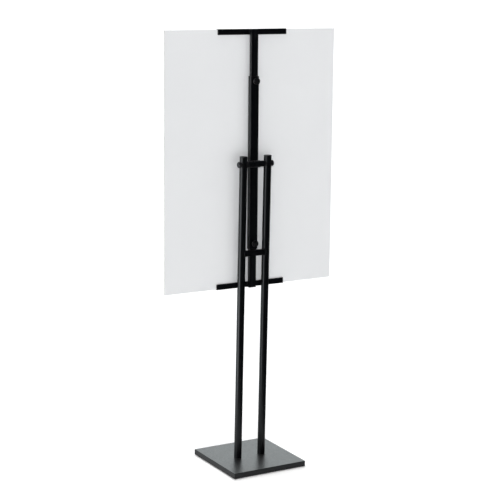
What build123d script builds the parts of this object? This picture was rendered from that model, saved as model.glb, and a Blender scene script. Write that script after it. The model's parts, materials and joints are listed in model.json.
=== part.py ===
from build123d import *

import math
import os

# Twin-post sign stand, millimetres, +Z up.
# The origin is on the floor under the middle of the base. The sign faces +Y, and the two posts
# stand side by side along X. The mast, its two telescoping tubes, the clips and the sign lean
# forward together about the pivot, so their sections are drawn on planes square to the mast.

# ---- base ----
base_width = 300.0
base_sheet = 2.0
base_bend_radius = 1.5
foot_height = 7.0
foot_diameter = 26.0
foot_chamfer = 1.2
foot_dish_diameter = 11.0
foot_screw_diameter = 5.0
foot_screw_reach = 9.0
foot_screw_head = 9.0
foot_screw_head_height = 2.4
foot_screw_socket = 3.8
foot_screw_socket_depth = 1.4
skirt_floor_gap = 3.0
base_top = 23.0
ballast_width = 294.0
ballast_inset = 118.0

# ---- posts ----
post_diameter = 28.0
post_wall = 2.0
post_spacing = 100.0
post_top = 1141.0
cap_thickness = 2.0
cap_rounding = 1.5
cap_plug_length = 14.0
cap_plug_gap = 1.0
cap_plug_wall = 1.5
cap_rib_count = 3
cap_rib_spacing = 4.0
cap_rib_start = 3.0
cap_rib_thickness = 1.2
foot_plug_length = 26.0
post_bolt_diameter = 10.0
post_bolt_length = 30.0
post_bolt_chamfer = 1.0
post_bolt_head = 6.4
post_bolt_flats = 17.0
bolt_washer_diameter = 21.0
bolt_washer_thickness = 2.0
bolt_pocket_diameter = 26.0

# ---- crossbar ----
crossbar_height = 21.0
crossbar_depth = 12.0
crossbar_wall = 1.5
crossbar_corner = 1.5
crossbar_inner_corner = 0.4
crossbar_center_z = 791.5
crossbar_front_y = -1.0
bumper_thickness = 4.8
bumper_width = 30.0
bumper_height = 16.0
bumper_corner = 1.5
weld_radius = 2.2

# ---- pivot ----
pivot_height = 1113.5
pivot_tube_diameter = 22.0
pivot_tube_wall = 2.0
pivot_plug_length = 14.0
pivot_pin_diameter = 4.0
pivot_pin_wall = 0.8
pivot_pin_recess = 0.6
sleeve_diameter = 25.0
saddle_diameter = 22.0
saddle_thickness = 3.0
saddle_chamfer = 1.0
tilt_stud_diameter = 8.0
tilt_stud_end_gap = 2.0
tilt_head_diameter = 22.0
tilt_head_height = 5.4
tilt_head_rim = 1.0
tilt_socket_flats = 6.0
tilt_socket_depth = 3.2

# ---- mast and telescoping tubes ----
lean = 1.25
mast_setback = 18.4
mast_width = 33.0
mast_depth = 20.0
mast_wall = 1.5
mast_corner = 2.2
mast_inner_corner = 0.7
mast_length = 615.0
inner_width = 27.0
inner_depth = 14.0
inner_wall = 1.5
inner_corner = 1.2
inner_bore_corner = 0.5
slide_travel = 150.0
least_grip = 60.0
collar_flange = 3.5
collar_chamfer = 1.6
collar_skirt = 9.0
collar_bore_corner = 1.3
plug_length = 14.0
guide_flange = 4.0
plug_wall = 1.5
plug_bore_corner = 0.3
end_cap_thickness = 2.0

# ---- clamp knobs on the mast ----
upper_knob_from_end = 13.8
lower_knob_from_end = 19.2
boss_diameter = 14.0
boss_height = 7.6
boss_chamfer = 0.6
knob_diameter = 25.0
knob_height = 9.6
knob_dome_radius = 28.0
knob_rim_radius = 2.2
knob_crown = 2.6
knob_flutes = 12
flute_radius = 1.7
flute_circle_radius = 13.265
stud_diameter = 6.0

# ---- sign and clips ----
sign_width = 696.0
sign_thickness = 5.0
sign_top = 474.0
sign_bottom = -450.0
clip_length = 279.0
clip_height = 20.0
clip_wall = 1.5
clip_corner = 0.6
clip_spacer = 2.5
liner_rear = 3.2
liner_front = 1.0
clip_weld_radius = 2.4
clip_weld_inset = 2.0

# ---- fits ----
running_gap = 0.1
face_gap = 0.2
touch_gap = 0.3
snug_gap = 0.05

# ---- worked-out sizes ----
post_radius = post_diameter / 2
post_bore = post_diameter - 2 * post_wall
cap_plug_radius = post_bore / 2 - cap_plug_gap
ballast_top = base_top - base_sheet
sleeve_length = mast_width
mast_half = mast_length / 2
pivot_half = post_spacing / 2 - post_radius - saddle_thickness - face_gap
saddle_face = post_radius + saddle_thickness
clip_rear = inner_depth / 2 + clip_spacer
sign_rear = clip_rear + clip_wall + liner_rear
sign_front = sign_rear + sign_thickness
clip_front = sign_front + liner_front + clip_wall
clip_top = sign_top + clip_wall + touch_gap
clip_bottom = sign_bottom - touch_gap - clip_wall
knob_heights = {
    "upper": mast_half - upper_knob_from_end,
    "lower": lower_knob_from_end - mast_half,
}
boss_base = mast_depth / 2
knob_base = boss_base + boss_height + face_gap
upper_tube_bottom = mast_half - slide_travel - least_grip
lower_tube_top = -upper_tube_bottom


def inset(section, margin):
    """A section's width and depth, each brought in by a margin on both sides."""
    return section[0] - 2 * margin, section[1] - 2 * margin


# Widths and depths of the mast group's sections.
mast_section = (mast_width, mast_depth)
mast_bore = inset(mast_section, mast_wall)
collar_skirt_section = inset(mast_bore, snug_gap)
guide_section = inset(mast_bore, running_gap)
inner_section = (inner_width, inner_depth)
collar_bore = inset(inner_section, -running_gap)
inner_bore = inset(inner_section, inner_wall)
plug_section = inset(inner_bore, snug_gap)
plug_bore = inset(plug_section, plug_wall)

# ---- planes ----
lean_angle = math.radians(lean)
tilt_plane = Plane(
    origin=(0, 0, pivot_height),
    x_dir=(1, 0, 0),
    z_dir=(0, math.sin(lean_angle), math.cos(lean_angle)),
)
mast_plane = Plane(
    origin=tilt_plane.from_local_coords(Vector(0, mast_setback, 0)),
    x_dir=tilt_plane.x_dir,
    z_dir=tilt_plane.z_dir,
)
# Side profiles of the mast group: x is forward from the mast's axis, y is up along the mast.
profile_plane = Plane(origin=mast_plane.origin, x_dir=mast_plane.y_dir, z_dir=(1, 0, 0))


def rear_plane(height, depth):
    """A plane facing rearwards, square to the mast, at a height and a depth behind its axis."""
    origin = mast_plane.from_local_coords(Vector(0, -depth, height))
    return Plane(origin=origin, x_dir=(1, 0, 0), z_dir=mast_plane.y_dir * -1)


def side_plane(x, side):
    """A plane facing outwards along X at the pivot's height."""
    return Plane(origin=(x, 0, pivot_height), x_dir=(0, side, 0), z_dir=(side, 0, 0))


def post_center(side):
    return side * post_spacing / 2


sides = {"left": -1, "right": 1}
os.makedirs("parts", exist_ok=True)


def save(builder, name):
    builder.part.label = name
    export_step(builder.part, f"parts/{name}.step")


# ---------------------------------------------------------------- base

# A tray folded from sheet, open below, with a hole for each post's bolt.
with BuildPart() as base_cover:
    with BuildSketch(Plane.XY.offset(skirt_floor_gap)):
        Rectangle(base_width, base_width)
    extrude(amount=base_top - skirt_floor_gap)
    fillet(base_cover.edges().filter_by(Axis.Z), radius=base_bend_radius)
    fillet(base_cover.faces().sort_by(Axis.Z)[-1].edges(), radius=base_bend_radius)
    with BuildSketch(Plane.XY.offset(skirt_floor_gap)):
        Rectangle(base_width - 2 * base_sheet, base_width - 2 * base_sheet)
    extrude(amount=ballast_top - skirt_floor_gap, mode=Mode.SUBTRACT)
    with BuildSketch(Plane.XY.offset(ballast_top)):
        with GridLocations(post_spacing, 0, 2, 1):
            Circle(post_bolt_diameter / 2 + touch_gap)
    extrude(amount=base_sheet, mode=Mode.SUBTRACT)
save(base_cover, "base_cover")

# The weight that keeps the stand upright. The bolt heads sit in pockets in its underside.
with BuildPart() as ballast_plate:
    with BuildSketch(Plane.XY.offset(foot_height)):
        Rectangle(ballast_width, ballast_width)
    extrude(amount=ballast_top - foot_height)
    with BuildSketch(Plane.XY.offset(foot_height)):
        with GridLocations(post_spacing, 0, 2, 1):
            Circle(bolt_pocket_diameter / 2)
    extrude(amount=post_bolt_head + bolt_washer_thickness, mode=Mode.SUBTRACT)
    with BuildSketch(Plane.XY.offset(foot_height)):
        with GridLocations(post_spacing, 0, 2, 1):
            Circle(post_bolt_diameter / 2 + touch_gap)
        with GridLocations(2 * ballast_inset, 2 * ballast_inset, 2, 2):
            Circle(foot_screw_diameter / 2 + running_gap)
    extrude(amount=ballast_top - foot_height, mode=Mode.SUBTRACT)
save(ballast_plate, "ballast_plate")

# Four turned rubber feet, dished below for their screws' heads.
with BuildPart() as rubber_feet:
    with BuildSketch():
        with GridLocations(2 * ballast_inset, 2 * ballast_inset, 2, 2):
            Circle(foot_diameter / 2)
    extrude(amount=foot_height)
    chamfer(rubber_feet.faces().group_by(Axis.Z)[0].edges(), length=foot_chamfer)
    with BuildSketch():
        with GridLocations(2 * ballast_inset, 2 * ballast_inset, 2, 2):
            Circle(foot_dish_diameter / 2)
    extrude(amount=foot_height / 2, mode=Mode.SUBTRACT)
    with BuildSketch():
        with GridLocations(2 * ballast_inset, 2 * ballast_inset, 2, 2):
            Circle(foot_screw_diameter / 2 + running_gap)
    extrude(amount=foot_height, mode=Mode.SUBTRACT)
save(rubber_feet, "rubber_feet")

with BuildPart() as foot_screws:
    screw_head_plane = Plane.XY.offset(foot_height / 2 - foot_screw_head_height)
    with BuildSketch(screw_head_plane):
        with GridLocations(2 * ballast_inset, 2 * ballast_inset, 2, 2):
            Circle(foot_screw_head / 2)
    extrude(amount=foot_screw_head_height)
    with BuildSketch(Plane.XY.offset(foot_height / 2)):
        with GridLocations(2 * ballast_inset, 2 * ballast_inset, 2, 2):
            Circle(foot_screw_diameter / 2)
    extrude(amount=foot_height / 2 + foot_screw_reach)
    with BuildSketch(screw_head_plane):
        with GridLocations(2 * ballast_inset, 2 * ballast_inset, 2, 2):
            RegularPolygon(foot_screw_socket / 2, 6)
    extrude(amount=foot_screw_socket_depth, mode=Mode.SUBTRACT)
save(foot_screws, "foot_screws")

# ---------------------------------------------------------------- posts

for side_name, side in sides.items():
    center = Plane.XY.move(Location((post_center(side), 0, 0)))
    through_post = Plane(
        origin=(post_center(side), 0, pivot_height), x_dir=(0, 1, 0), z_dir=(1, 0, 0)
    )
    with BuildPart() as post:
        with BuildSketch(center.offset(base_top)):
            Circle(post_radius)
            Circle(post_bore / 2, mode=Mode.SUBTRACT)
        extrude(amount=post_top - base_top)
        with BuildSketch(through_post):
            Circle(tilt_stud_diameter / 2 + running_gap)
        extrude(amount=post_diameter, both=True, mode=Mode.SUBTRACT)
    save(post, f"{side_name}_post")

    # A threaded plug welded into the tube's foot, which the bolt pulls down on the base.
    with BuildPart() as foot_plug:
        with BuildSketch(center.offset(base_top)):
            Circle(post_bore / 2 - snug_gap)
            Circle(post_bolt_diameter / 2 + running_gap, mode=Mode.SUBTRACT)
        extrude(amount=foot_plug_length)
    save(foot_plug, f"{side_name}_post_foot_plug")

    # A flat plastic cap with a ribbed plug.
    with BuildPart() as cap:
        with BuildSketch(center.offset(post_top)):
            Circle(post_radius)
        extrude(amount=cap_thickness)
        fillet(cap.faces().sort_by(Axis.Z)[-1].edges(), radius=cap_rounding)
        with BuildSketch(center.offset(post_top)):
            Circle(cap_plug_radius)
            Circle(cap_plug_radius - cap_plug_wall, mode=Mode.SUBTRACT)
        extrude(amount=-cap_plug_length)
        for rib in range(cap_rib_count):
            with BuildSketch(center.offset(post_top - cap_rib_start - cap_rib_spacing * rib)):
                Circle(post_bore / 2 - snug_gap)
                Circle(cap_plug_radius - cap_plug_wall, mode=Mode.SUBTRACT)
            extrude(amount=-cap_rib_thickness)
    save(cap, f"{side_name}_post_cap")

with BuildPart() as post_bolts:
    head_plane = Plane.XY.offset(foot_height)
    with BuildSketch(head_plane):
        with GridLocations(post_spacing, 0, 2, 1):
            RegularPolygon(post_bolt_flats / 2, 6, major_radius=False)
    extrude(amount=post_bolt_head)
    with BuildSketch(head_plane.offset(post_bolt_head)):
        with GridLocations(post_spacing, 0, 2, 1):
            Circle(post_bolt_diameter / 2)
    extrude(amount=post_bolt_length)
    chamfer(post_bolts.faces().group_by(Axis.Z)[-1].edges(), length=post_bolt_chamfer)
save(post_bolts, "post_bolts")

with BuildPart() as post_bolt_washers:
    with BuildSketch(Plane.XY.offset(foot_height + post_bolt_head)):
        with GridLocations(post_spacing, 0, 2, 1):
            Circle(bolt_washer_diameter / 2)
            Circle(post_bolt_diameter / 2 + snug_gap, mode=Mode.SUBTRACT)
    extrude(amount=bolt_washer_thickness)
save(post_bolt_washers, "post_bolt_washers")

# ---------------------------------------------------------------- crossbar

crossbar_center_y = crossbar_front_y - crossbar_depth / 2
crossbar_plane = Plane(
    origin=(0, crossbar_center_y, crossbar_center_z), x_dir=(0, 1, 0), z_dir=(1, 0, 0)
)
crossbar_bore_depth = crossbar_depth - 2 * crossbar_wall
crossbar_bore_height = crossbar_height - 2 * crossbar_wall

# A rectangular tube between the posts, its ends coped to fit round them.
with BuildPart() as crossbar:
    with BuildSketch(crossbar_plane):
        RectangleRounded(crossbar_depth, crossbar_height, crossbar_corner)
        RectangleRounded(
            crossbar_bore_depth, crossbar_bore_height, crossbar_inner_corner, mode=Mode.SUBTRACT
        )
    extrude(amount=post_spacing / 2, both=True)
    with BuildSketch(Plane.XY.offset(crossbar_center_z)):
        with GridLocations(post_spacing, 0, 2, 1):
            Circle(post_radius)
    extrude(amount=crossbar_height, both=True, mode=Mode.SUBTRACT)
    crossbar_middle = crossbar.solids().sort_by(SortBy.VOLUME)[-1]
    add(crossbar_middle, mode=Mode.REPLACE)
save(crossbar, "crossbar")

# Weld beads round both ends: a fat outline of the tube's section, trimmed to the posts.
with BuildPart() as crossbar_welds:
    with BuildSketch(crossbar_plane):
        RectangleRounded(
            crossbar_depth + 2 * weld_radius,
            crossbar_height + 2 * weld_radius,
            crossbar_corner + weld_radius,
        )
        RectangleRounded(crossbar_depth, crossbar_height, crossbar_corner, mode=Mode.SUBTRACT)
    extrude(amount=post_spacing / 2, both=True)
    with BuildSketch(Plane.XY.offset(crossbar_center_z)):
        with GridLocations(post_spacing, 0, 2, 1):
            Circle(post_radius + weld_radius)
    extrude(amount=crossbar_height, both=True, mode=Mode.INTERSECT)
    with BuildSketch(Plane.XY.offset(crossbar_center_z)):
        with GridLocations(post_spacing, 0, 2, 1):
            Circle(post_radius)
    extrude(amount=crossbar_height, both=True, mode=Mode.SUBTRACT)
save(crossbar_welds, "crossbar_welds")

# The pad that the mast's lower tube leans on.
with BuildPart() as crossbar_bumper:
    with BuildSketch(Plane.XZ.offset(-crossbar_front_y)):
        with Locations((0, crossbar_center_z)):
            RectangleRounded(bumper_width, bumper_height, bumper_corner)
    extrude(amount=-bumper_thickness)
save(crossbar_bumper, "crossbar_bumper")

# ---------------------------------------------------------------- pivot

for side_name, side in sides.items():
    # Saddle washers fit the tube's round on one face and are flat on the other.
    for place, outward in {"inner": -side, "outer": side}.items():
        with BuildPart() as saddle:
            with BuildSketch(side_plane(post_center(side), outward)):
                Circle(saddle_diameter / 2)
                Circle(tilt_stud_diameter / 2 + running_gap, mode=Mode.SUBTRACT)
            extrude(amount=saddle_face)
            flat_face = saddle.faces().sort_by(Axis.X)[-1 if outward > 0 else 0]
            chamfer(flat_face.outer_wire().edges(), length=saddle_chamfer)
            with BuildSketch(Plane.XY.offset(pivot_height)):
                with Locations((post_center(side), 0)):
                    Circle(post_radius)
            extrude(amount=saddle_diameter, both=True, mode=Mode.SUBTRACT)
        save(saddle, f"{side_name}_{place}_saddle")

    # The tilt screw: a domed head with a hex socket, and its shank through the post.
    head_base = post_center(side) + side * (saddle_face + face_gap)
    shank_length = 2 * saddle_face + 2 * face_gap + pivot_plug_length - tilt_stud_end_gap
    with BuildPart() as tilt_screw:
        with BuildSketch(side_plane(head_base, side)):
            Circle(tilt_head_diameter / 2)
        extrude(amount=tilt_head_height)
        outer_rim = tilt_screw.faces().sort_by(Axis.X)[-1 if side > 0 else 0].edges()
        fillet(outer_rim, radius=tilt_head_height - tilt_head_rim)
        with BuildSketch(side_plane(head_base, side)):
            Circle(tilt_stud_diameter / 2)
        extrude(amount=-shank_length)
        with BuildSketch(side_plane(head_base + side * tilt_head_height, side)):
            RegularPolygon(tilt_socket_flats / 2, 6, major_radius=False)
        extrude(amount=-tilt_socket_depth, mode=Mode.SUBTRACT)
    save(tilt_screw, f"{side_name}_tilt_screw")

    # The plug in the pivot tube's end, which the screw threads into.
    with BuildPart() as pivot_plug:
        with BuildSketch(side_plane(side * pivot_half, side)):
            Circle(pivot_tube_diameter / 2 - pivot_tube_wall - snug_gap)
            Circle(tilt_stud_diameter / 2 + running_gap, mode=Mode.SUBTRACT)
        extrude(amount=-pivot_plug_length)
    save(pivot_plug, f"{side_name}_pivot_plug")

with BuildPart() as pivot_tube:
    with BuildSketch(side_plane(0, 1)):
        Circle(pivot_tube_diameter / 2)
        Circle(pivot_tube_diameter / 2 - pivot_tube_wall, mode=Mode.SUBTRACT)
    extrude(amount=pivot_half, both=True)
    with BuildSketch(tilt_plane):
        Circle(pivot_pin_diameter / 2 + snug_gap)
    extrude(amount=sleeve_diameter, both=True, mode=Mode.SUBTRACT)
save(pivot_tube, "pivot_tube")

# The sleeve is welded into a notch in the back of the mast.
with BuildPart() as pivot_sleeve:
    with BuildSketch(side_plane(0, 1)):
        Circle(sleeve_diameter / 2)
        Circle(pivot_tube_diameter / 2 + snug_gap, mode=Mode.SUBTRACT)
    extrude(amount=sleeve_length / 2, both=True)
    with BuildSketch(tilt_plane):
        Circle(pivot_pin_diameter / 2 + snug_gap)
    extrude(amount=sleeve_diameter, both=True, mode=Mode.SUBTRACT)
save(pivot_sleeve, "pivot_sleeve")

# A spring pin keeps the sleeve from turning on the tube.
with BuildPart() as pivot_pin:
    with BuildSketch(tilt_plane):
        Circle(pivot_pin_diameter / 2)
        Circle(pivot_pin_diameter / 2 - pivot_pin_wall, mode=Mode.SUBTRACT)
    extrude(amount=sleeve_diameter / 2 - pivot_pin_recess, both=True)
save(pivot_pin, "pivot_pin")

# ---------------------------------------------------------------- mast

with BuildPart() as mast_tube:
    with BuildSketch(mast_plane):
        RectangleRounded(*mast_section, mast_corner)
        RectangleRounded(*mast_bore, mast_inner_corner, mode=Mode.SUBTRACT)
    extrude(amount=mast_half, both=True)
    with BuildSketch(side_plane(0, 1)):
        Circle(sleeve_diameter / 2)
    extrude(amount=mast_width, both=True, mode=Mode.SUBTRACT)
    for height in knob_heights.values():
        with BuildSketch(rear_plane(height, 0)):
            Circle(stud_diameter / 2 + running_gap)
        extrude(amount=mast_width, mode=Mode.SUBTRACT)
save(mast_tube, "mast_tube")

for end_name, end in {"upper": 1, "lower": -1}.items():
    end_origin = mast_plane.offset(end * mast_half).origin
    mast_end = Plane(origin=end_origin, x_dir=(1, 0, 0), z_dir=mast_plane.z_dir * end)

    # A plastic collar closes the mast's end and guides the tube that slides in it.
    with BuildPart() as collar:
        with BuildSketch(mast_end):
            RectangleRounded(*mast_section, mast_corner)
        extrude(amount=collar_flange)
        end_face = collar.faces().sort_by(Axis(mast_end.origin, mast_end.z_dir))[-1]
        chamfer(end_face.edges(), length=collar_chamfer)
        with BuildSketch(mast_end):
            RectangleRounded(*collar_skirt_section, mast_inner_corner)
        extrude(amount=-collar_skirt)
        with BuildSketch(mast_end.offset(-collar_skirt)):
            RectangleRounded(*collar_bore, collar_bore_corner)
        extrude(amount=collar_skirt + collar_flange, mode=Mode.SUBTRACT)
    save(collar, f"{end_name}_mast_collar")

    # A threaded boss welded to the back of the mast for the clamp knob.
    with BuildPart() as boss:
        with BuildSketch(rear_plane(knob_heights[end_name], boss_base)):
            Circle(boss_diameter / 2)
            Circle(stud_diameter / 2 + running_gap, mode=Mode.SUBTRACT)
        extrude(amount=boss_height)
        chamfer(boss.faces().sort_by(Axis.Y)[0].outer_wire().edges(), length=boss_chamfer)
    save(boss, f"{end_name}_clamp_boss")

    # The knob's fluted head, domed at the back.
    knob_plane = rear_plane(knob_heights[end_name], knob_base)
    with BuildPart() as knob_head:
        with BuildSketch(knob_plane):
            Circle(knob_diameter / 2)
            with PolarLocations(flute_circle_radius, knob_flutes):
                Circle(flute_radius, mode=Mode.SUBTRACT)
        extrude(amount=knob_height)
        dome_plane = Plane(origin=knob_plane.origin, x_dir=(1, 0, 0), z_dir=mast_plane.z_dir)
        with BuildSketch(dome_plane) as dome_profile:
            Rectangle(knob_diameter / 2, knob_height, align=(Align.MIN, Align.MAX))
            with Locations((0, knob_dome_radius - knob_height)):
                Circle(knob_dome_radius, mode=Mode.INTERSECT)
            outer_corners = dome_profile.vertices().sort_by(Axis.X)[-2:]
            fillet(outer_corners.sort_by(Axis.Y)[0], radius=knob_rim_radius)
        dome_axis = Axis(knob_plane.origin, knob_plane.z_dir)
        revolve(axis=dome_axis, revolution_arc=360, mode=Mode.INTERSECT)
        with BuildSketch(knob_plane):
            Circle(stud_diameter / 2 + snug_gap)
        extrude(amount=knob_height - knob_crown, mode=Mode.SUBTRACT)
    save(knob_head, f"{end_name}_knob_head")

    # The stud stops just short of the tube that it clamps, and of the bottom of the knob's hole.
    stud_tip = inner_depth / 2 + touch_gap
    stud_top = knob_base + knob_height - knob_crown - running_gap
    with BuildPart() as knob_stud:
        with BuildSketch(rear_plane(knob_heights[end_name], stud_tip)):
            Circle(stud_diameter / 2)
        extrude(amount=stud_top - stud_tip)
    save(knob_stud, f"{end_name}_knob_stud")

# ---------------------------------------------------------------- telescoping tubes


def inner_tube(low, high):
    with BuildPart() as tube:
        with BuildSketch(mast_plane.offset(low)):
            RectangleRounded(*inner_section, inner_corner)
            RectangleRounded(*inner_bore, inner_bore_corner, mode=Mode.SUBTRACT)
        extrude(amount=high - low)
    return tube


def end_plug(height, direction, flange_section, flange_length):
    """A plug for a sliding tube: the flange stands on the end, the rest goes inside."""
    end_origin = mast_plane.offset(height).origin
    end_plane = Plane(origin=end_origin, x_dir=(1, 0, 0), z_dir=mast_plane.z_dir * direction)
    with BuildPart() as plug:
        with BuildSketch(end_plane):
            RectangleRounded(*flange_section, inner_corner)
        extrude(amount=flange_length)
        with BuildSketch(end_plane):
            RectangleRounded(*plug_section, inner_bore_corner)
            RectangleRounded(*plug_bore, plug_bore_corner, mode=Mode.SUBTRACT)
        extrude(amount=-plug_length)
    return plug


upper_tube_top = clip_top - end_cap_thickness
lower_tube_bottom = clip_bottom + end_cap_thickness
save(inner_tube(upper_tube_bottom, upper_tube_top), "upper_tube")
save(inner_tube(lower_tube_bottom, lower_tube_top), "lower_tube")
save(end_plug(upper_tube_bottom, -1, guide_section, guide_flange), "upper_tube_guide")
save(end_plug(lower_tube_top, 1, guide_section, guide_flange), "lower_tube_guide")
save(end_plug(upper_tube_top, 1, inner_section, end_cap_thickness), "upper_tube_cap")
save(end_plug(lower_tube_bottom, -1, inner_section, end_cap_thickness), "lower_tube_cap")

# ---------------------------------------------------------------- clips and sign


def channel(edge, inward):
    """A clip: a channel along X whose web is at `edge` and whose mouth faces `inward`."""
    middle_depth = (clip_rear + clip_front) / 2
    clip_depth = clip_front - clip_rear
    slot_height = clip_height - clip_wall
    with BuildPart() as clip:
        with BuildSketch(profile_plane):
            with Locations((middle_depth, edge + inward * clip_height / 2)):
                RectangleRounded(clip_depth, clip_height, clip_corner)
            with Locations((middle_depth, edge + inward * (clip_wall + slot_height / 2))):
                Rectangle(clip_depth - 2 * clip_wall, slot_height, mode=Mode.SUBTRACT)
        extrude(amount=clip_length / 2, both=True)
    return clip


def spacer(edge, inward):
    """A flat bar between the tube and the clip, which keeps the clip clear of the posts."""
    with BuildPart() as bar:
        with BuildSketch(profile_plane):
            with Locations((clip_rear - clip_spacer / 2, edge + inward * clip_height / 2)):
                Rectangle(clip_spacer, clip_height)
        extrude(amount=inner_width / 2, both=True)
    return bar


def liner(edge, inward):
    """Two rubber strips glued inside a clip's cheeks."""
    strip_height = clip_height - clip_wall - touch_gap
    middle_height = edge + inward * (clip_wall + touch_gap / 2 + strip_height / 2)
    rear_strip = (clip_rear + clip_wall, sign_rear - running_gap)
    front_strip = (sign_front + running_gap, clip_front - clip_wall)
    with BuildPart() as strips:
        with BuildSketch(profile_plane):
            for rear, front in (rear_strip, front_strip):
                with Locations(((rear + front) / 2, middle_height)):
                    Rectangle(front - rear, strip_height)
        extrude(amount=clip_length / 2, both=True)
    return strips


def clip_welds(edge, inward):
    """A bead down each side of the spacer where the clip's back meets it."""
    bead_length = clip_height - 2 * clip_weld_inset
    with BuildPart() as beads:
        with BuildSketch(mast_plane.offset(edge + inward * clip_weld_inset)):
            for side in sides.values():
                with Locations((side * inner_width / 2, clip_rear)):
                    Circle(clip_weld_radius)
            Rectangle(inner_width, 2 * clip_rear, mode=Mode.SUBTRACT)
            with Locations((0, clip_rear)):
                Rectangle(
                    2 * inner_width,
                    inner_width,
                    align=(Align.CENTER, Align.MIN),
                    mode=Mode.SUBTRACT,
                )
        extrude(amount=inward * bead_length)
    return beads


for clip_name, (edge, inward) in {"top": (clip_top, -1), "bottom": (clip_bottom, 1)}.items():
    save(channel(edge, inward), f"{clip_name}_clip")
    save(spacer(edge, inward), f"{clip_name}_clip_spacer")
    save(liner(edge, inward), f"{clip_name}_clip_liner")
    save(clip_welds(edge, inward), f"{clip_name}_clip_welds")

with BuildPart() as sign_board:
    with BuildSketch(profile_plane):
        with Locations(((sign_rear + sign_front) / 2, (sign_top + sign_bottom) / 2)):
            Rectangle(sign_thickness, sign_top - sign_bottom)
    extrude(amount=sign_width / 2, both=True)
save(sign_board, "sign_board")
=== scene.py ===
import json
import math

import bmesh
import bpy
from mathutils import Matrix, Vector, noise


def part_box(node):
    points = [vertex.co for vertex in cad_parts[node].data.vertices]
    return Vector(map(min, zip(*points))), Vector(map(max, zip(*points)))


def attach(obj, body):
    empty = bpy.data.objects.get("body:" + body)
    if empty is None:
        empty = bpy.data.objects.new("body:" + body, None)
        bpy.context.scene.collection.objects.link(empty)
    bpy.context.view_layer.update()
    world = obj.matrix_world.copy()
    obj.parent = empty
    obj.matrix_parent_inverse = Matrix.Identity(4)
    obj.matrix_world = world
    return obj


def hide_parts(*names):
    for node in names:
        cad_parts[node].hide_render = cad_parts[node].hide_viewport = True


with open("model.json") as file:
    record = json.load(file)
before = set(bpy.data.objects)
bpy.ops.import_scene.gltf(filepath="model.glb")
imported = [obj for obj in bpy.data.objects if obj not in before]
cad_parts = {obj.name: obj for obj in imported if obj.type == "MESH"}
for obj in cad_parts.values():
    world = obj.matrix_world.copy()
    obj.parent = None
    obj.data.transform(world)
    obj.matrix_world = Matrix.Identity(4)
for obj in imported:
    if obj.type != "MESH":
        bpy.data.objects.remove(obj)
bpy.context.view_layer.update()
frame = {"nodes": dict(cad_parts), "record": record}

MM = 0.001

# ---- studio: angles in degrees, lengths in metres; azimuths turn from -Y towards -X ----
CAMERA_AZIMUTH = 31
CAMERA_ELEVATION = 14
CAMERA_PLACE = (-2.711, -4.4964, 1.8856)
CAMERA_YAW = 30.94
CAMERA_PITCH = 11.684
CAMERA_ROLL = 1.18
CAMERA_LENS_MM = 107.0
SENSOR_WIDTH_MM = 36.0
VIEW_DEPTH = 200.0
AIM_HEIGHT = 0.9

WHITE_AZIMUTH = 155
WHITE_SIDE = 0.74
WHITE_TINT = (0.94, 1.0, 1.01)
DIM_SIDE = 0.014
DIM_TINT = (0.80, 1.0, 1.18)
BACKDROP_AZIMUTH = -149
BACKDROP_ELEVATION = 12
BACKDROP = 1.3
MATT_SHARE = 0.1
SEEN_WHITE = 1.05

STAGE_RADIUS = 0.6
STAGE_SHIFT = 0.3
STAGE_AZIMUTH = 85
FLOOR_RADIUS = 80.0
FLOOR_STEPS = 96
FLOOR_WHITE = 0.95
FLOOR_GLOW = 0.22
FLOOR_IN_GLOSS = 0.70

# ---- small sizes that the CAD leaves to the visual model ----
RIPPLE_PITCH = 1.5 * MM
BEAD_STEP = 0.25 * MM
BEAD_SIDES = 16
CROSSBAR_CORNER = 1.5 * MM
CROSSBAR_BEAD = 2.0 * MM
CLIP_BEAD = 2.0 * MM
CLIP_BEAD_HALF_LENGTH = 7.6 * MM
CLIP_BEAD_FORWARD = 1.2 * MM
SLEEVE_BEAD = 1.7 * MM
SLEEVE_BEAD_MARGIN = 3.5 * MM
BOSS_BEAD = 1.1 * MM
PAPER = 0.45 * MM
PAPER_RIM = 0.12 * MM
BOARD_CORNER = 0.8 * MM
CORE_SETBACK = 0.15 * MM
CORE_GAP = 0.01 * MM
CORE_LEVELS = 7

COAT_IOR = 1.47
PLASTIC_IOR = 1.46


def joint_axis(name):
    for joint in frame["record"]["behaviour"]["joints"]:
        if joint["name"] == name:
            return Vector(joint["axis"])


def middle(node):
    low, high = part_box(node)
    return (low + high) / 2


# The mast's own directions: across it, up along it, and forwards out of the sign.
ACROSS = Vector((1, 0, 0))
ALONG = joint_axis("upper_telescope").normalized()
FORWARD = ALONG.cross(ACROSS).normalized()


def half_width(node):
    low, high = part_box(node)
    return (high.x - low.x) / 2


def leaning_size(node):
    """Depth and length, square to the mast, of a plain part that leans with it."""
    low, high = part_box(node)
    cosine, sine = FORWARD.y, abs(FORWARD.z)
    length = ((high.z - low.z) * cosine - (high.y - low.y) * sine) / (cosine ** 2 - sine ** 2)
    depth = (high.y - low.y - length * sine) / cosine
    return depth, length


def direction(azimuth, elevation):
    """A unit vector from the stand towards an azimuth and elevation."""
    turn, rise = math.radians(azimuth), math.radians(elevation)
    level = math.cos(rise)
    return Vector((-math.sin(turn) * level, -math.cos(turn) * level, math.sin(rise)))


# ---------------------------------------------------------------- node helpers
# material is a material or a world: anything with a node tree.

def new_material(name):
    material = bpy.data.materials.new(name)
    material.use_nodes = True
    material.node_tree.nodes.clear()
    return material


def add_node(material, kind, **values):
    node = material.node_tree.nodes.new(kind)
    for key, value in values.items():
        if key in node.inputs:
            node.inputs[key].default_value = value
        else:
            setattr(node, key, value)
    return node


def link(material, source, target):
    material.node_tree.links.new(source, target)


def principled(material, **values):
    output = add_node(material, "ShaderNodeOutputMaterial")
    shader = add_node(material, "ShaderNodeBsdfPrincipled")
    for key, value in values.items():
        shader.inputs[key.replace("_", " ")].default_value = value
    link(material, shader.outputs[0], output.inputs[0])
    return shader


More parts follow.
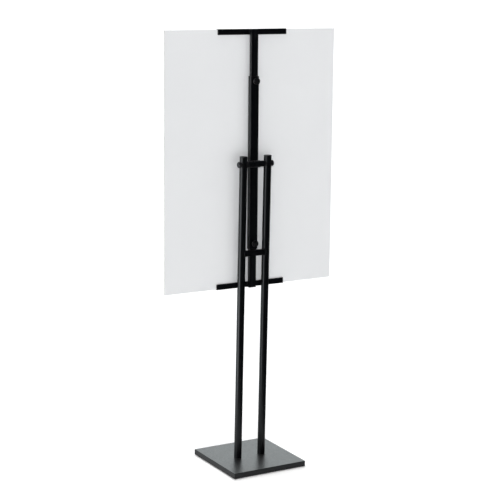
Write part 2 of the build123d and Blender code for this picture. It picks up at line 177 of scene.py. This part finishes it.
def place(material, scale=(1, 1, 1), offset=(0, 0, 0)):
    """Object coordinates, stretched by scale about offset."""
    coordinates = add_node(material, "ShaderNodeTexCoord")
    mapping = add_node(material, "ShaderNodeMapping")
    mapping.vector_type = "TEXTURE"
    mapping.inputs["Location"].default_value = offset
    mapping.inputs["Scale"].default_value = scale
    link(material, coordinates.outputs["Object"], mapping.inputs["Vector"])
    return mapping.outputs["Vector"]


def grain(material, scale, detail=3.0, roughness=0.5, at=None):
    texture = add_node(
        material, "ShaderNodeTexNoise", Scale=scale, Detail=detail, Roughness=roughness
    )
    link(material, at or place(material), texture.inputs["Vector"])
    return texture.outputs["Fac"]


def cells(material, scale):
    texture = add_node(material, "ShaderNodeTexVoronoi", Scale=scale)
    link(material, place(material), texture.inputs["Vector"])
    return texture.outputs["Distance"]


def spread(material, value, low, high, start=0.3, stop=0.7):
    """Maps start to stop of a texture onto low to high."""
    node = add_node(material, "ShaderNodeMapRange")
    node.inputs["From Min"].default_value = start
    node.inputs["From Max"].default_value = stop
    node.inputs["To Min"].default_value = low
    node.inputs["To Max"].default_value = high
    link(material, value, node.inputs["Value"])
    return node.outputs["Result"]


def calculate(material, operation, first, second):
    node = add_node(material, "ShaderNodeMath", operation=operation)
    for socket, value in zip(node.inputs, (first, second)):
        if isinstance(value, (int, float)):
            socket.default_value = value
        else:
            link(material, value, socket)
    return node.outputs[0]


def colour_mix(material, value, first, second):
    node = add_node(material, "ShaderNodeMix")
    node.data_type = "RGBA"
    for socket, colour in ((node.inputs[6], first), (node.inputs[7], second)):
        if isinstance(colour, tuple):
            socket.default_value = (*colour, 1)
        else:
            link(material, colour, socket)
    link(material, value, node.inputs[0])
    return node.outputs[2]


def bump(material, shader, *layers):
    """Adds (height, distance in metres) layers of relief, one over the other."""
    below = None
    for height, distance in layers:
        node = add_node(material, "ShaderNodeBump", Distance=distance)
        link(material, height, node.inputs["Height"])
        if below:
            link(material, below, node.inputs["Normal"])
        below = node.outputs[0]
    link(material, below, shader.inputs["Normal"])


def upward(material, start=0.85):
    """1 where the surface faces up, where dust settles."""
    coordinates = add_node(material, "ShaderNodeTexCoord")
    parts = add_node(material, "ShaderNodeSeparateXYZ")
    link(material, coordinates.outputs["Normal"], parts.inputs[0])
    return spread(material, parts.outputs[2], 0.0, 1.0, start, 1.0)


def near_plane(material, axis, centre, reach, soft):
    """1 within reach of a plane across X, Y or Z, falling to 0 over the soft margin."""
    coordinates = add_node(material, "ShaderNodeTexCoord")
    parts = add_node(material, "ShaderNodeSeparateXYZ")
    link(material, coordinates.outputs["Object"], parts.inputs[0])
    away = calculate(material, "SUBTRACT", parts.outputs["XYZ".index(axis)], centre)
    away = calculate(material, "ABSOLUTE", away, 0.0)
    return spread(material, away, 1.0, 0.0, reach, reach + soft)


# ---------------------------------------------------------------- materials

def powder_coat(name="powder_coat", rub=None):
    """Satin black powder coat: orange peel, cloudy sheen, settled dust, and tracks where rubbed."""
    deep, pale = (0.0013, 0.0015, 0.0020), (0.0028, 0.0031, 0.0038)
    dust, bared = (0.030, 0.029, 0.027), (0.055, 0.056, 0.060)
    dust_cover, dust_roughness = 0.55, 0.07
    material = new_material(name)
    shader = principled(material, IOR=COAT_IOR, Specular_Tint=(0.96, 1.0, 1.02, 1))
    tone = colour_mix(material, spread(material, grain(material, 55), 0, 1), deep, pale)
    sheen = spread(material, grain(material, 140, detail=4), 0.28, 0.36)
    drifts = spread(material, grain(material, 35, detail=6, roughness=0.65), 0, 1)
    settled = calculate(material, "MULTIPLY", upward(material), drifts)
    tone = colour_mix(material, calculate(material, "MULTIPLY", settled, dust_cover), tone, dust)
    dulled = calculate(material, "MULTIPLY", settled, dust_roughness)
    sheen = calculate(material, "ADD", sheen, dulled)
    if rub:
        tone = colour_mix(material, rub(material), tone, bared)
    link(material, tone, shader.inputs["Base Color"])
    link(material, sheen, shader.inputs["Roughness"])
    peel = grain(material, 620, detail=1.5, roughness=0.4)
    pits = grain(material, 2600, detail=2)
    bump(material, shader, (peel, 0.1 * MM), (pits, 0.02 * MM))
    return material


def slide_track(side):
    """Long faint scuffs on a sliding tube, where the clamp's stud and a collar rub it."""
    everywhere, corner_share = 0.12, 0.6

    def rub(material):
        stretched = place(material, (0.9 * MM, 0.9 * MM, 50 * MM))
        streaks = grain(material, 1, detail=4, roughness=0.6, at=stretched)
        scuffs = spread(material, streaks, 0.0, 0.7, 0.55, 0.78)
        stud = near_plane(material, "X", 0.0, 1.6 * MM, 1.5 * MM)
        corner = near_plane(material, "X", side, 0.5 * MM, 1.2 * MM)
        fainter = calculate(material, "MULTIPLY", corner, corner_share)
        worn = calculate(material, "MAXIMUM", stud, fainter)
        return calculate(material, "MULTIPLY", scuffs, calculate(material, "ADD", everywhere, worn))
    return rub


def moulded_plastic(name, dark, light, rough, texture):
    """Moulded nylon or polypropylene: spark-eroded texture, with faint flow marks in the gloss."""
    material = new_material(name)
    shader = principled(material, IOR=PLASTIC_IOR)
    tone = colour_mix(material, spread(material, grain(material, 90), 0, 1), dark, light)
    link(material, tone, shader.inputs["Base Color"])
    flow = grain(material, 1, detail=3, at=place(material, (4 * MM, 4 * MM, 16 * MM)))
    link(material, spread(material, flow, *rough), shader.inputs["Roughness"])
    bump(material, shader, (grain(material, 2400, detail=3, roughness=0.7), texture),
         (grain(material, 160, detail=1), 0.08 * MM))
    return material


def black_zinc():
    """A turned and blackened screw: fine rings round its axis, oily sheen."""
    material = new_material("black_zinc")
    shader = principled(material, IOR=1.6, Specular_Tint=(0.92, 0.95, 1.0, 1))
    pitch = 1.2 * MM
    round_axis = place(material, (pitch, pitch, pitch), tuple(middle("pivot_tube")))
    rings = add_node(material, "ShaderNodeTexWave", Scale=0.3, Distortion=0.6)
    rings.wave_type = "RINGS"
    rings.rings_direction = "X"
    link(material, round_axis, rings.inputs["Vector"])
    patches = spread(material, grain(material, 320, detail=5), 0, 1)
    tone = colour_mix(material, patches, (0.006, 0.006, 0.008), (0.016, 0.015, 0.016))
    link(material, tone, shader.inputs["Base Color"])
    sheen = spread(material, grain(material, 500, detail=4), 0.17, 0.29)
    link(material, sheen, shader.inputs["Roughness"])
    bump(material, shader, (rings.outputs["Fac"], 0.02 * MM), (grain(material, 1800), 0.02 * MM))
    return material


def bright_zinc():
    """Zinc plate over steel: crystalline patches and drawn scratches."""
    material = new_material("bright_zinc")
    shader = principled(material, Metallic=1.0)
    patches = spread(material, cells(material, 420), 0, 1, 0.1, 0.7)
    tone = colour_mix(material, patches, (0.50, 0.51, 0.52), (0.68, 0.68, 0.67))
    link(material, tone, shader.inputs["Base Color"])
    scratches = grain(material, 1, detail=4, at=place(material, (0.6 * MM, 6 * MM, 0.6 * MM)))
    link(material, spread(material, scratches, 0.24, 0.46), shader.inputs["Roughness"])
    bump(material, shader, (scratches, 0.03 * MM))
    return material


def bare_iron():
    """Hot-rolled plate: blue-grey mill scale with rust freckles."""
    material = new_material("bare_iron")
    shader = principled(material, Metallic=0.35)
    patches = spread(material, grain(material, 40, 6, 0.6), 0, 1)
    mill_scale = colour_mix(material, patches, (0.055, 0.058, 0.064), (0.13, 0.125, 0.12))
    freckles = spread(material, grain(material, 210, 5, 0.7), 0, 0.8, 0.62, 0.74)
    tone = colour_mix(material, freckles, mill_scale, (0.16, 0.065, 0.025))
    link(material, tone, shader.inputs["Base Color"])
    link(material, spread(material, grain(material, 90, 5), 0.42, 0.75), shader.inputs["Roughness"])
    bump(material, shader, (grain(material, 300, 6, 0.65), 0.2 * MM))
    return material


def rubber():
    """Black rubber with bloom and a fine pebble."""
    material = new_material("rubber")
    shader = principled(material, IOR=1.45)
    bloom = spread(material, grain(material, 130, 5, 0.6), 0, 1, 0.45, 0.75)
    tone = colour_mix(material, bloom, (0.009, 0.009, 0.009), (0.030, 0.029, 0.028))
    link(material, tone, shader.inputs["Base Color"])
    link(material, spread(material, grain(material, 400), 0.55, 0.78), shader.inputs["Roughness"])
    bump(material, shader, (cells(material, 1500), 0.06 * MM))
    return material


def board_paper():
    """Clay-coated white paper: faint fibre clouds, a little mottle, and long scuffs."""
    material = new_material("sign_panel")
    shader = principled(material, IOR=1.45)
    fibre = spread(material, grain(material, 900, 5, 0.7), 0, 1)
    cloud = spread(material, grain(material, 7, 3), 0, 1)
    cloud = calculate(material, "MULTIPLY", cloud, 0.35)
    tone = colour_mix(material, fibre, (0.805, 0.815, 0.828), (0.835, 0.845, 0.856))
    tone = colour_mix(material, cloud, tone, (0.79, 0.80, 0.815))
    link(material, tone, shader.inputs["Base Color"])
    scuffs = grain(material, 1, detail=4, at=place(material, (250 * MM, 250 * MM, 4 * MM)))
    link(material, spread(material, scuffs, 0.52, 0.66), shader.inputs["Roughness"])
    tooth, waviness = grain(material, 1400, 4, 0.65), grain(material, 9, 2)
    bump(material, shader, (tooth, 0.03 * MM), (waviness, 0.6 * MM))
    return material


def board_foam():
    """The cut foam core: open cells that the knife has torn here and there, their hollows darkened
    with painted shade.
    """
    material = new_material("foam_core")
    shader = principled(material, IOR=1.4)
    cell = cells(material, 1100)
    # Painted shade: the tone darkens towards each cell's middle, where the relief sinks.
    hollow_shade = spread(material, cell, 0, 1, 0.0, 0.6)
    tone = colour_mix(material, hollow_shade, (0.62, 0.62, 0.60), (0.83, 0.83, 0.81))
    link(material, tone, shader.inputs["Base Color"])
    link(material, spread(material, grain(material, 500), 0.75, 0.95), shader.inputs["Roughness"])
    bump(material, shader, (cell, 0.3 * MM), (grain(material, 260, 4), 0.3 * MM))
    return material


tube_half = half_width("upper_tube")
materials = {
    "powder_coat": powder_coat(),
    "black_plastic": moulded_plastic(
        "black_plastic", dark=(0.005, 0.005, 0.0055), light=(0.010, 0.010, 0.011),
        rough=(0.42, 0.56), texture=0.07 * MM,
    ),
    "knob_plastic": moulded_plastic(
        "knob_plastic", dark=(0.004, 0.004, 0.0045), light=(0.008, 0.008, 0.009),
        rough=(0.24, 0.34), texture=0.03 * MM,
    ),
    "black_zinc": black_zinc(),
    "bright_zinc": bright_zinc(),
    "bare_iron": bare_iron(),
    "rubber": rubber(),
    "sign_panel": board_paper(),
}
rubbed_coat = powder_coat("rubbed_powder_coat", slide_track(tube_half))
foam = board_foam()


def dress(cad, material):
    cad.data.materials.clear()
    cad.data.materials.append(material)


for subpart in frame["record"]["subparts"]:
    dress(frame["nodes"][subpart["node"]], materials[subpart["material_slot"]])
for sliding_tube in ("upper_tube", "lower_tube"):
    dress(frame["nodes"][sliding_tube], rubbed_coat)


# ---------------------------------------------------------------- pieces

def finish_piece(name, mesh, body, material, smooth=True):
    data = bpy.data.meshes.new(name)
    bmesh.ops.recalc_face_normals(mesh, faces=mesh.faces)
    mesh.to_mesh(data)
    mesh.free()
    piece = bpy.data.objects.new(name, data)
    bpy.context.collection.objects.link(piece)
    data.materials.append(material)
    for face in data.polygons:
        face.use_smooth = smooth
    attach(piece, body)
    return piece


def resampled(path, closed, step):
    """The path again, with points every step or so along it."""
    corners = path + [path[0]] if closed else path
    points = []
    for start, end in zip(corners, corners[1:]):
        count = max(1, round((end - start).length / step))
        points += [start.lerp(end, index / count) for index in range(count)]
    return points if closed else points + [path[-1]]


def skin(mesh, rings):
    """Faces between each ring of points and the next."""
    for first, second in zip(rings, rings[1:]):
        for index in range(len(first)):
            following = (index + 1) % len(first)
            mesh.faces.new((first[index], first[following], second[following], second[index]))


def rounded_outline(half_x, half_y, rounding, points, offset=0.0):
    """Points round a rectangle with rounded corners, in the XY plane."""
    outline = []
    for turn in range(points):
        angle = math.tau * (turn + offset) / points
        x = math.copysign(half_x - rounding, math.cos(angle)) + rounding * math.cos(angle)
        y = math.copysign(half_y - rounding, math.sin(angle)) + rounding * math.sin(angle)
        outline.append(Vector((x, y, 0)))
    return outline


def weld_bead(name, path, outward, radius, body, closed=False, seed=0.0):
    """A weld bead: overlapping ripples along a path, each one a little different.

    outward(point) is the direction that the bead bulges in at a point of the path.
    """
    base_swell, ripple_swell, wander_swell = 0.84, 0.13, 0.05
    ripple_lean = 0.35 * RIPPLE_PITCH
    blunt_end = 0.1 * MM
    points = resampled(path, closed, BEAD_STEP)
    count = len(points)
    mesh = bmesh.new()
    rings = []
    travelled = 0.0
    for index, point in enumerate(points):
        before = points[index - 1] if closed or index > 0 else point
        after = points[(index + 1) % count] if closed or index < count - 1 else point
        tangent = (after - before).normalized()
        out = outward(point)
        out = (out - tangent * out.dot(tangent)).normalized()
        side = tangent.cross(out)
        ripple = (travelled / RIPPLE_PITCH) % 1.0
        wander = noise.noise(Vector((travelled / (4 * RIPPLE_PITCH), seed, 0.0)))
        arch = math.sqrt(1 - (2 * ripple - 1) ** 2)
        swell = radius * (base_swell + ripple_swell * arch + wander_swell * wander)
        if not closed:
            to_end = min(index, count - 1 - index) * BEAD_STEP
            swell *= math.sqrt(min(1.0, (to_end + blunt_end) / radius))
        ring = []
        for turn in range(BEAD_SIDES):
            angle = math.tau * turn / BEAD_SIDES
            lean = tangent * (ripple_lean * math.cos(angle))
            bulge = (out * math.cos(angle) + side * math.sin(angle)) * swell
            ring.append(mesh.verts.new(point + lean + bulge))
        rings.append(ring)
        travelled += (after - point).length
    skin(mesh, rings + rings[:1] if closed else rings)
    if not closed:
        mesh.faces.new(rings[0])
        mesh.faces.new(list(reversed(rings[-1])))
    return finish_piece(name, mesh, body, materials["powder_coat"])


def crossbar_beads():
    """A bead round each end of the crossbar, on the line where it meets the post's round."""
    low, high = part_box("crossbar")
    centre = middle("crossbar")
    outline = rounded_outline((high.y - low.y) / 2, (high.z - low.z) / 2, CROSSBAR_CORNER, 48)
    outline = [point + Vector((centre.y, centre.z, 0)) for point in outline]
    for side, name in ((-1, "left"), (1, "right")):
        axis_x = middle(name + "_post").x
        radius = half_width(name + "_post")
        path = []
        for point in resampled(outline, True, BEAD_STEP):
            inwards = math.sqrt(radius ** 2 - point.x ** 2)
            path.append(Vector((axis_x - side * inwards, point.x, point.y)))

        def outward(point, side=side):
            return Vector((-side * 8 * MM, point.y - centre.y, (point.z - centre.z) / 2))

        bead = weld_bead(
            name + "_crossbar_bead", path, outward, CROSSBAR_BEAD, "stand", closed=True, seed=side
        )
        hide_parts("crossbar_welds")


def clip_beads():
    """Straight beads down each side of a tube, where a clip's back crosses it."""
    for clip, body, seed in (("top", "upper_slide", 3.0), ("bottom", "lower_slide", 5.0)):
        centre = middle(clip + "_clip_welds") + FORWARD * CLIP_BEAD_FORWARD
        for side, name in ((-1, "left"), (1, "right")):
            start = centre + ACROSS * side * tube_half - ALONG * CLIP_BEAD_HALF_LENGTH
            end = centre + ACROSS * side * tube_half + ALONG * CLIP_BEAD_HALF_LENGTH

            def outward(point, side=side):
                return ACROSS * side - FORWARD

            bead_name = f"{clip}_clip_{name}_bead"
            bead = weld_bead(bead_name, [start, end], outward, CLIP_BEAD, body, seed=seed + side)
            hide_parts(clip + "_clip_welds")


def mast_beads():
    """The beads that hold the pivot sleeve and the two clamp bosses to the back of the mast."""
    depth, _ = leaning_size("mast_tube")
    rear = middle("mast_tube") - FORWARD * depth / 2
    reach = half_width("mast_tube") - SLEEVE_BEAD_MARGIN
    sleeve = middle("pivot_sleeve")
    low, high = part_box("pivot_sleeve")
    radius = (high.z - low.z) / 2
    setback = (rear - sleeve).dot(FORWARD)
    rise = math.sqrt(radius ** 2 - setback ** 2)
    for way, name in ((-1, "lower"), (1, "upper")):
        line = sleeve + FORWARD * setback + ALONG * way * rise
        ends = [line - ACROSS * reach, line + ACROSS * reach]

        def outward(point, way=way):
            return ALONG * way - FORWARD

        weld_bead(f"{name}_sleeve_bead", ends, outward, SLEEVE_BEAD, "mast", seed=7.0 + way)

        boss = middle(name + "_clamp_boss")
        boss_radius = half_width(name + "_clamp_boss")
        root = boss + FORWARD * (rear - boss).dot(FORWARD)
        ring = []
        for turn in range(72):
            angle = math.tau * turn / 72
            ring.append(root + (ACROSS * math.cos(angle) + ALONG * math.sin(angle)) * boss_radius)

        def away(point, root=root):
            return (point - root).normalized() - FORWARD

        weld_bead(f"{name}_boss_bead", ring, away, BOSS_BEAD, "mast", closed=True, seed=11.0 + way)


def foam_board():
    """The sign as it is made: a foam core between two paper faces, its cut edges open."""
    centre = middle("sign_board")
    thickness, length = leaning_size("sign_board")
    half_across, half_along = half_width("sign_board"), length / 2

    def edge(margin, step):
        """The board's outline, margin inside its size, with slightly rounded corners."""
        half_x, half_z = half_across - margin, half_along - margin
        return resampled(rounded_outline(half_x, half_z, BOARD_CORNER, 24, offset=0.5), True, step)

    def placed(point, pull, depth):
        """A point of the outline, pulled in from the edge and moved forwards by depth."""
        x = point.x * (1 - pull / half_across)
        z = point.y * (1 - pull / half_along)
        return centre + ACROSS * x + ALONG * z + FORWARD * depth

    def sheet(name, depth, facing):
        """A paper face: flat outside, its rim turned over by the cut."""
        mesh = bmesh.new()
        outline = edge(0.0, 12 * MM)
        outer = depth + facing * PAPER / 2
        inner = depth - facing * PAPER / 2
        levels = ((0.0, inner), (0.0, outer - facing * PAPER_RIM), (PAPER_RIM, outer))
        rings = []
        for pull, level in levels:
            rings.append([mesh.verts.new(placed(point, pull, level)) for point in outline])
        skin(mesh, rings)
        mesh.faces.new(rings[0])
        mesh.faces.new(rings[-1])
        paper = materials["sign_panel"]
        piece = finish_piece(name, mesh, "sign", paper, smooth=False)
        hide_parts("sign_board")

    sheet("sign_back_paper", -thickness / 2 + PAPER / 2, -1)
    sheet("sign_front_paper", thickness / 2 - PAPER / 2, 1)

    mesh = bmesh.new()
    core_half = thickness / 2 - PAPER - CORE_GAP
    outline = edge(CORE_SETBACK, 1.6 * MM)
    bow, tear_depth, tears_per_metre = 0.16, 0.16, 420
    rings = []
    for level in range(CORE_LEVELS):
        share = level / (CORE_LEVELS - 1)
        depth = -core_half + 2 * core_half * share
        bowed = math.sin(math.pi * share)
        ring = []
        for point in outline:
            tear = noise.noise(Vector((point.x, point.y, depth * 2)) * tears_per_metre)
            pull = bowed * (bow + tear_depth * tear) * MM
            ring.append(mesh.verts.new(placed(point, pull, depth)))
        rings.append(ring)
    skin(mesh, rings)
    mesh.faces.new(rings[0])
    mesh.faces.new(rings[-1])
    core = finish_piece("sign_foam_core", mesh, "sign", foam, smooth=False)
    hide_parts("sign_board")


crossbar_beads()
clip_beads()
mast_beads()
foam_board()


# ---------------------------------------------------------------- floor, light and camera

def grey(value):
    return (value, value, value, 1)


def floor_surface():
    """Matt white with a glow that softens the shadow; dimmer in gloss, and clear from below."""
    material = new_material("pale_floor")
    output = add_node(material, "ShaderNodeOutputMaterial")
    matt = add_node(material, "ShaderNodeBsdfDiffuse", Color=grey(FLOOR_WHITE))
    glow = add_node(material, "ShaderNodeEmission", Strength=FLOOR_GLOW)
    dim = add_node(material, "ShaderNodeBsdfDiffuse", Color=grey(FLOOR_IN_GLOSS))
    clear = add_node(material, "ShaderNodeBsdfTransparent")
    sides = add_node(material, "ShaderNodeNewGeometry")
    rays = add_node(material, "ShaderNodeLightPath")
    lit = add_node(material, "ShaderNodeAddShader")
    gloss_mix = add_node(material, "ShaderNodeMixShader")
    side_mix = add_node(material, "ShaderNodeMixShader")
    link(material, matt.outputs[0], lit.inputs[0])
    link(material, glow.outputs[0], lit.inputs[1])
    link(material, rays.outputs["Is Glossy Ray"], gloss_mix.inputs[0])
    link(material, lit.outputs[0], gloss_mix.inputs[1])
    link(material, dim.outputs[0], gloss_mix.inputs[2])
    link(material, sides.outputs["Backfacing"], side_mix.inputs[0])
    link(material, gloss_mix.outputs[0], side_mix.inputs[1])
    link(material, clear.outputs[0], side_mix.inputs[2])
    link(material, side_mix.outputs[0], output.inputs[0])
    return material


def floor():
    """A pale floor in two rings; only the near one shows in gloss, as on a small lit stage."""
    material = floor_surface()
    centre = direction(STAGE_AZIMUTH, 0) * STAGE_SHIFT
    angles = [math.tau * step / FLOOR_STEPS for step in range(FLOOR_STEPS)]
    rounds = [Vector((math.cos(angle), math.sin(angle), 0)) for angle in angles]
    near, far = ("floor_near", 0.0, STAGE_RADIUS), ("floor_far", STAGE_RADIUS, FLOOR_RADIUS)
    for name, inner, outer in (near, far):
        mesh = bmesh.new()
        rings = []
        for radius in (outer, inner):
            rings.append([mesh.verts.new(centre + way * radius) for way in rounds])
        skin(mesh, rings)
        bmesh.ops.remove_doubles(mesh, verts=mesh.verts, dist=1e-6)
        data = bpy.data.meshes.new(name)
        mesh.to_mesh(data)
        mesh.free()
        data.materials.append(material)
        plane = bpy.data.objects.new(name, data)
        bpy.context.collection.objects.link(plane)
        plane.visible_glossy = inner == 0.0


def sky_part(world, coordinates, towards, start, stop, low, high):
    """Light that rises from low to high as a direction turns towards one side."""
    along = add_node(world, "ShaderNodeVectorMath", operation="DOT_PRODUCT")
    along.inputs[1].default_value = towards
    link(world, coordinates.outputs["Generated"], along.inputs[0])
    ramp = add_node(world, "ShaderNodeMapRange", interpolation_type="SMOOTHSTEP",
                    **{"From Min": start, "From Max": stop, "To Min": low, "To Max": high})
    link(world, along.outputs["Value"], ramp.inputs["Value"])
    return ramp.outputs["Result"]


def world_light():
    """Gloss sees a white surround, a bright backdrop and a dim room on the camera's side.

    Matt surfaces get a weak even light instead, and the camera sees plain white.
    """
    world = bpy.data.worlds.new("studio")
    bpy.context.scene.world = world
    world.use_nodes = True
    world.node_tree.nodes.clear()
    output = add_node(world, "ShaderNodeOutputWorld")
    coordinates = add_node(world, "ShaderNodeTexCoord")
    rays = add_node(world, "ShaderNodeLightPath")
    towards_white = direction(WHITE_AZIMUTH, 0)
    towards_backdrop = direction(BACKDROP_AZIMUTH, BACKDROP_ELEVATION)
    surround = sky_part(world, coordinates, towards_white, -0.1, 0.45, DIM_SIDE, WHITE_SIDE)
    backdrop = sky_part(world, coordinates, towards_backdrop, 0.6, 0.9, 0.0, BACKDROP)
    total = calculate(world, "ADD", surround, backdrop)
    room = add_node(world, "ShaderNodeBackground")
    link(world, total, room.inputs["Strength"])
    link(world, colour_mix(world, total, DIM_TINT, WHITE_TINT), room.inputs["Color"])
    even = add_node(world, "ShaderNodeBackground", Color=grey(1), Strength=MATT_SHARE)
    plain = add_node(world, "ShaderNodeBackground", Color=grey(1), Strength=SEEN_WHITE)
    matt_mix = add_node(world, "ShaderNodeMixShader")
    link(world, rays.outputs["Is Diffuse Ray"], matt_mix.inputs[0])
    link(world, room.outputs[0], matt_mix.inputs[1])
    link(world, even.outputs[0], matt_mix.inputs[2])
    seen_mix = add_node(world, "ShaderNodeMixShader")
    link(world, rays.outputs["Is Camera Ray"], seen_mix.inputs[0])
    link(world, matt_mix.outputs[0], seen_mix.inputs[1])
    link(world, plain.outputs[0], seen_mix.inputs[2])
    link(world, seen_mix.outputs[0], output.inputs[0])


def aim(light, towards):
    light.rotation_euler = (-towards).to_track_quat("-Z", "Y").to_euler()


def sun(name, azimuth, elevation, strength, angle):
    """A broad light for matt surfaces only, as wide in the sky as its angle."""
    data = bpy.data.lights.new(name, "SUN")
    data.energy = strength
    data.angle = math.radians(angle)
    light = bpy.data.objects.new(name, data)
    bpy.context.collection.objects.link(light)
    aim(light, direction(azimuth, elevation))
    light.visible_glossy = False


def soft_box(name, azimuth, elevation, distance, width, height, radiance):
    """A rectangular soft box that faces the middle of the stand and shows only in gloss."""
    data = bpy.data.lights.new(name, "AREA")
    data.shape = "RECTANGLE"
    data.size = width
    data.size_y = height
    data.energy = radiance * math.pi * width * height
    light = bpy.data.objects.new(name, data)
    bpy.context.collection.objects.link(light)
    light.location = Vector((0, 0, AIM_HEIGHT)) + direction(azimuth, elevation) * distance
    aim(light, direction(azimuth, elevation))
    light.visible_diffuse = False


def camera():
    data = bpy.data.cameras.new("camera")
    data.lens = CAMERA_LENS_MM
    data.sensor_width = SENSOR_WIDTH_MM
    data.clip_end = VIEW_DEPTH
    obj = bpy.data.objects.new("camera", data)
    bpy.context.collection.objects.link(obj)
    yaw, pitch, roll = map(math.radians, (CAMERA_YAW, CAMERA_PITCH, CAMERA_ROLL))
    level = math.cos(pitch)
    forward = Vector((math.sin(yaw) * level, math.cos(yaw) * level, -math.sin(pitch)))
    right = Vector((math.cos(yaw), -math.sin(yaw), 0))
    up = right.cross(forward)
    turn = Matrix.Rotation(-roll, 3, forward)
    right, up = turn @ right, turn @ up
    axes = Matrix((right, up, -forward)).transposed()
    obj.matrix_world = Matrix.Translation(CAMERA_PLACE) @ axes.to_4x4()
    bpy.context.scene.camera = obj


floor()
world_light()
sun("fill", CAMERA_AZIMUTH, CAMERA_ELEVATION, strength=1.05, angle=5)
sun("top", 0, 90, strength=2.05, angle=45)
sun("front", 180, 45, strength=0.9, angle=40)
soft_box("side", 86, -13, distance=2.6, width=1.4, height=2.0, radiance=4.1)
camera()
bpy.context.scene.view_settings.view_transform = "Standard"
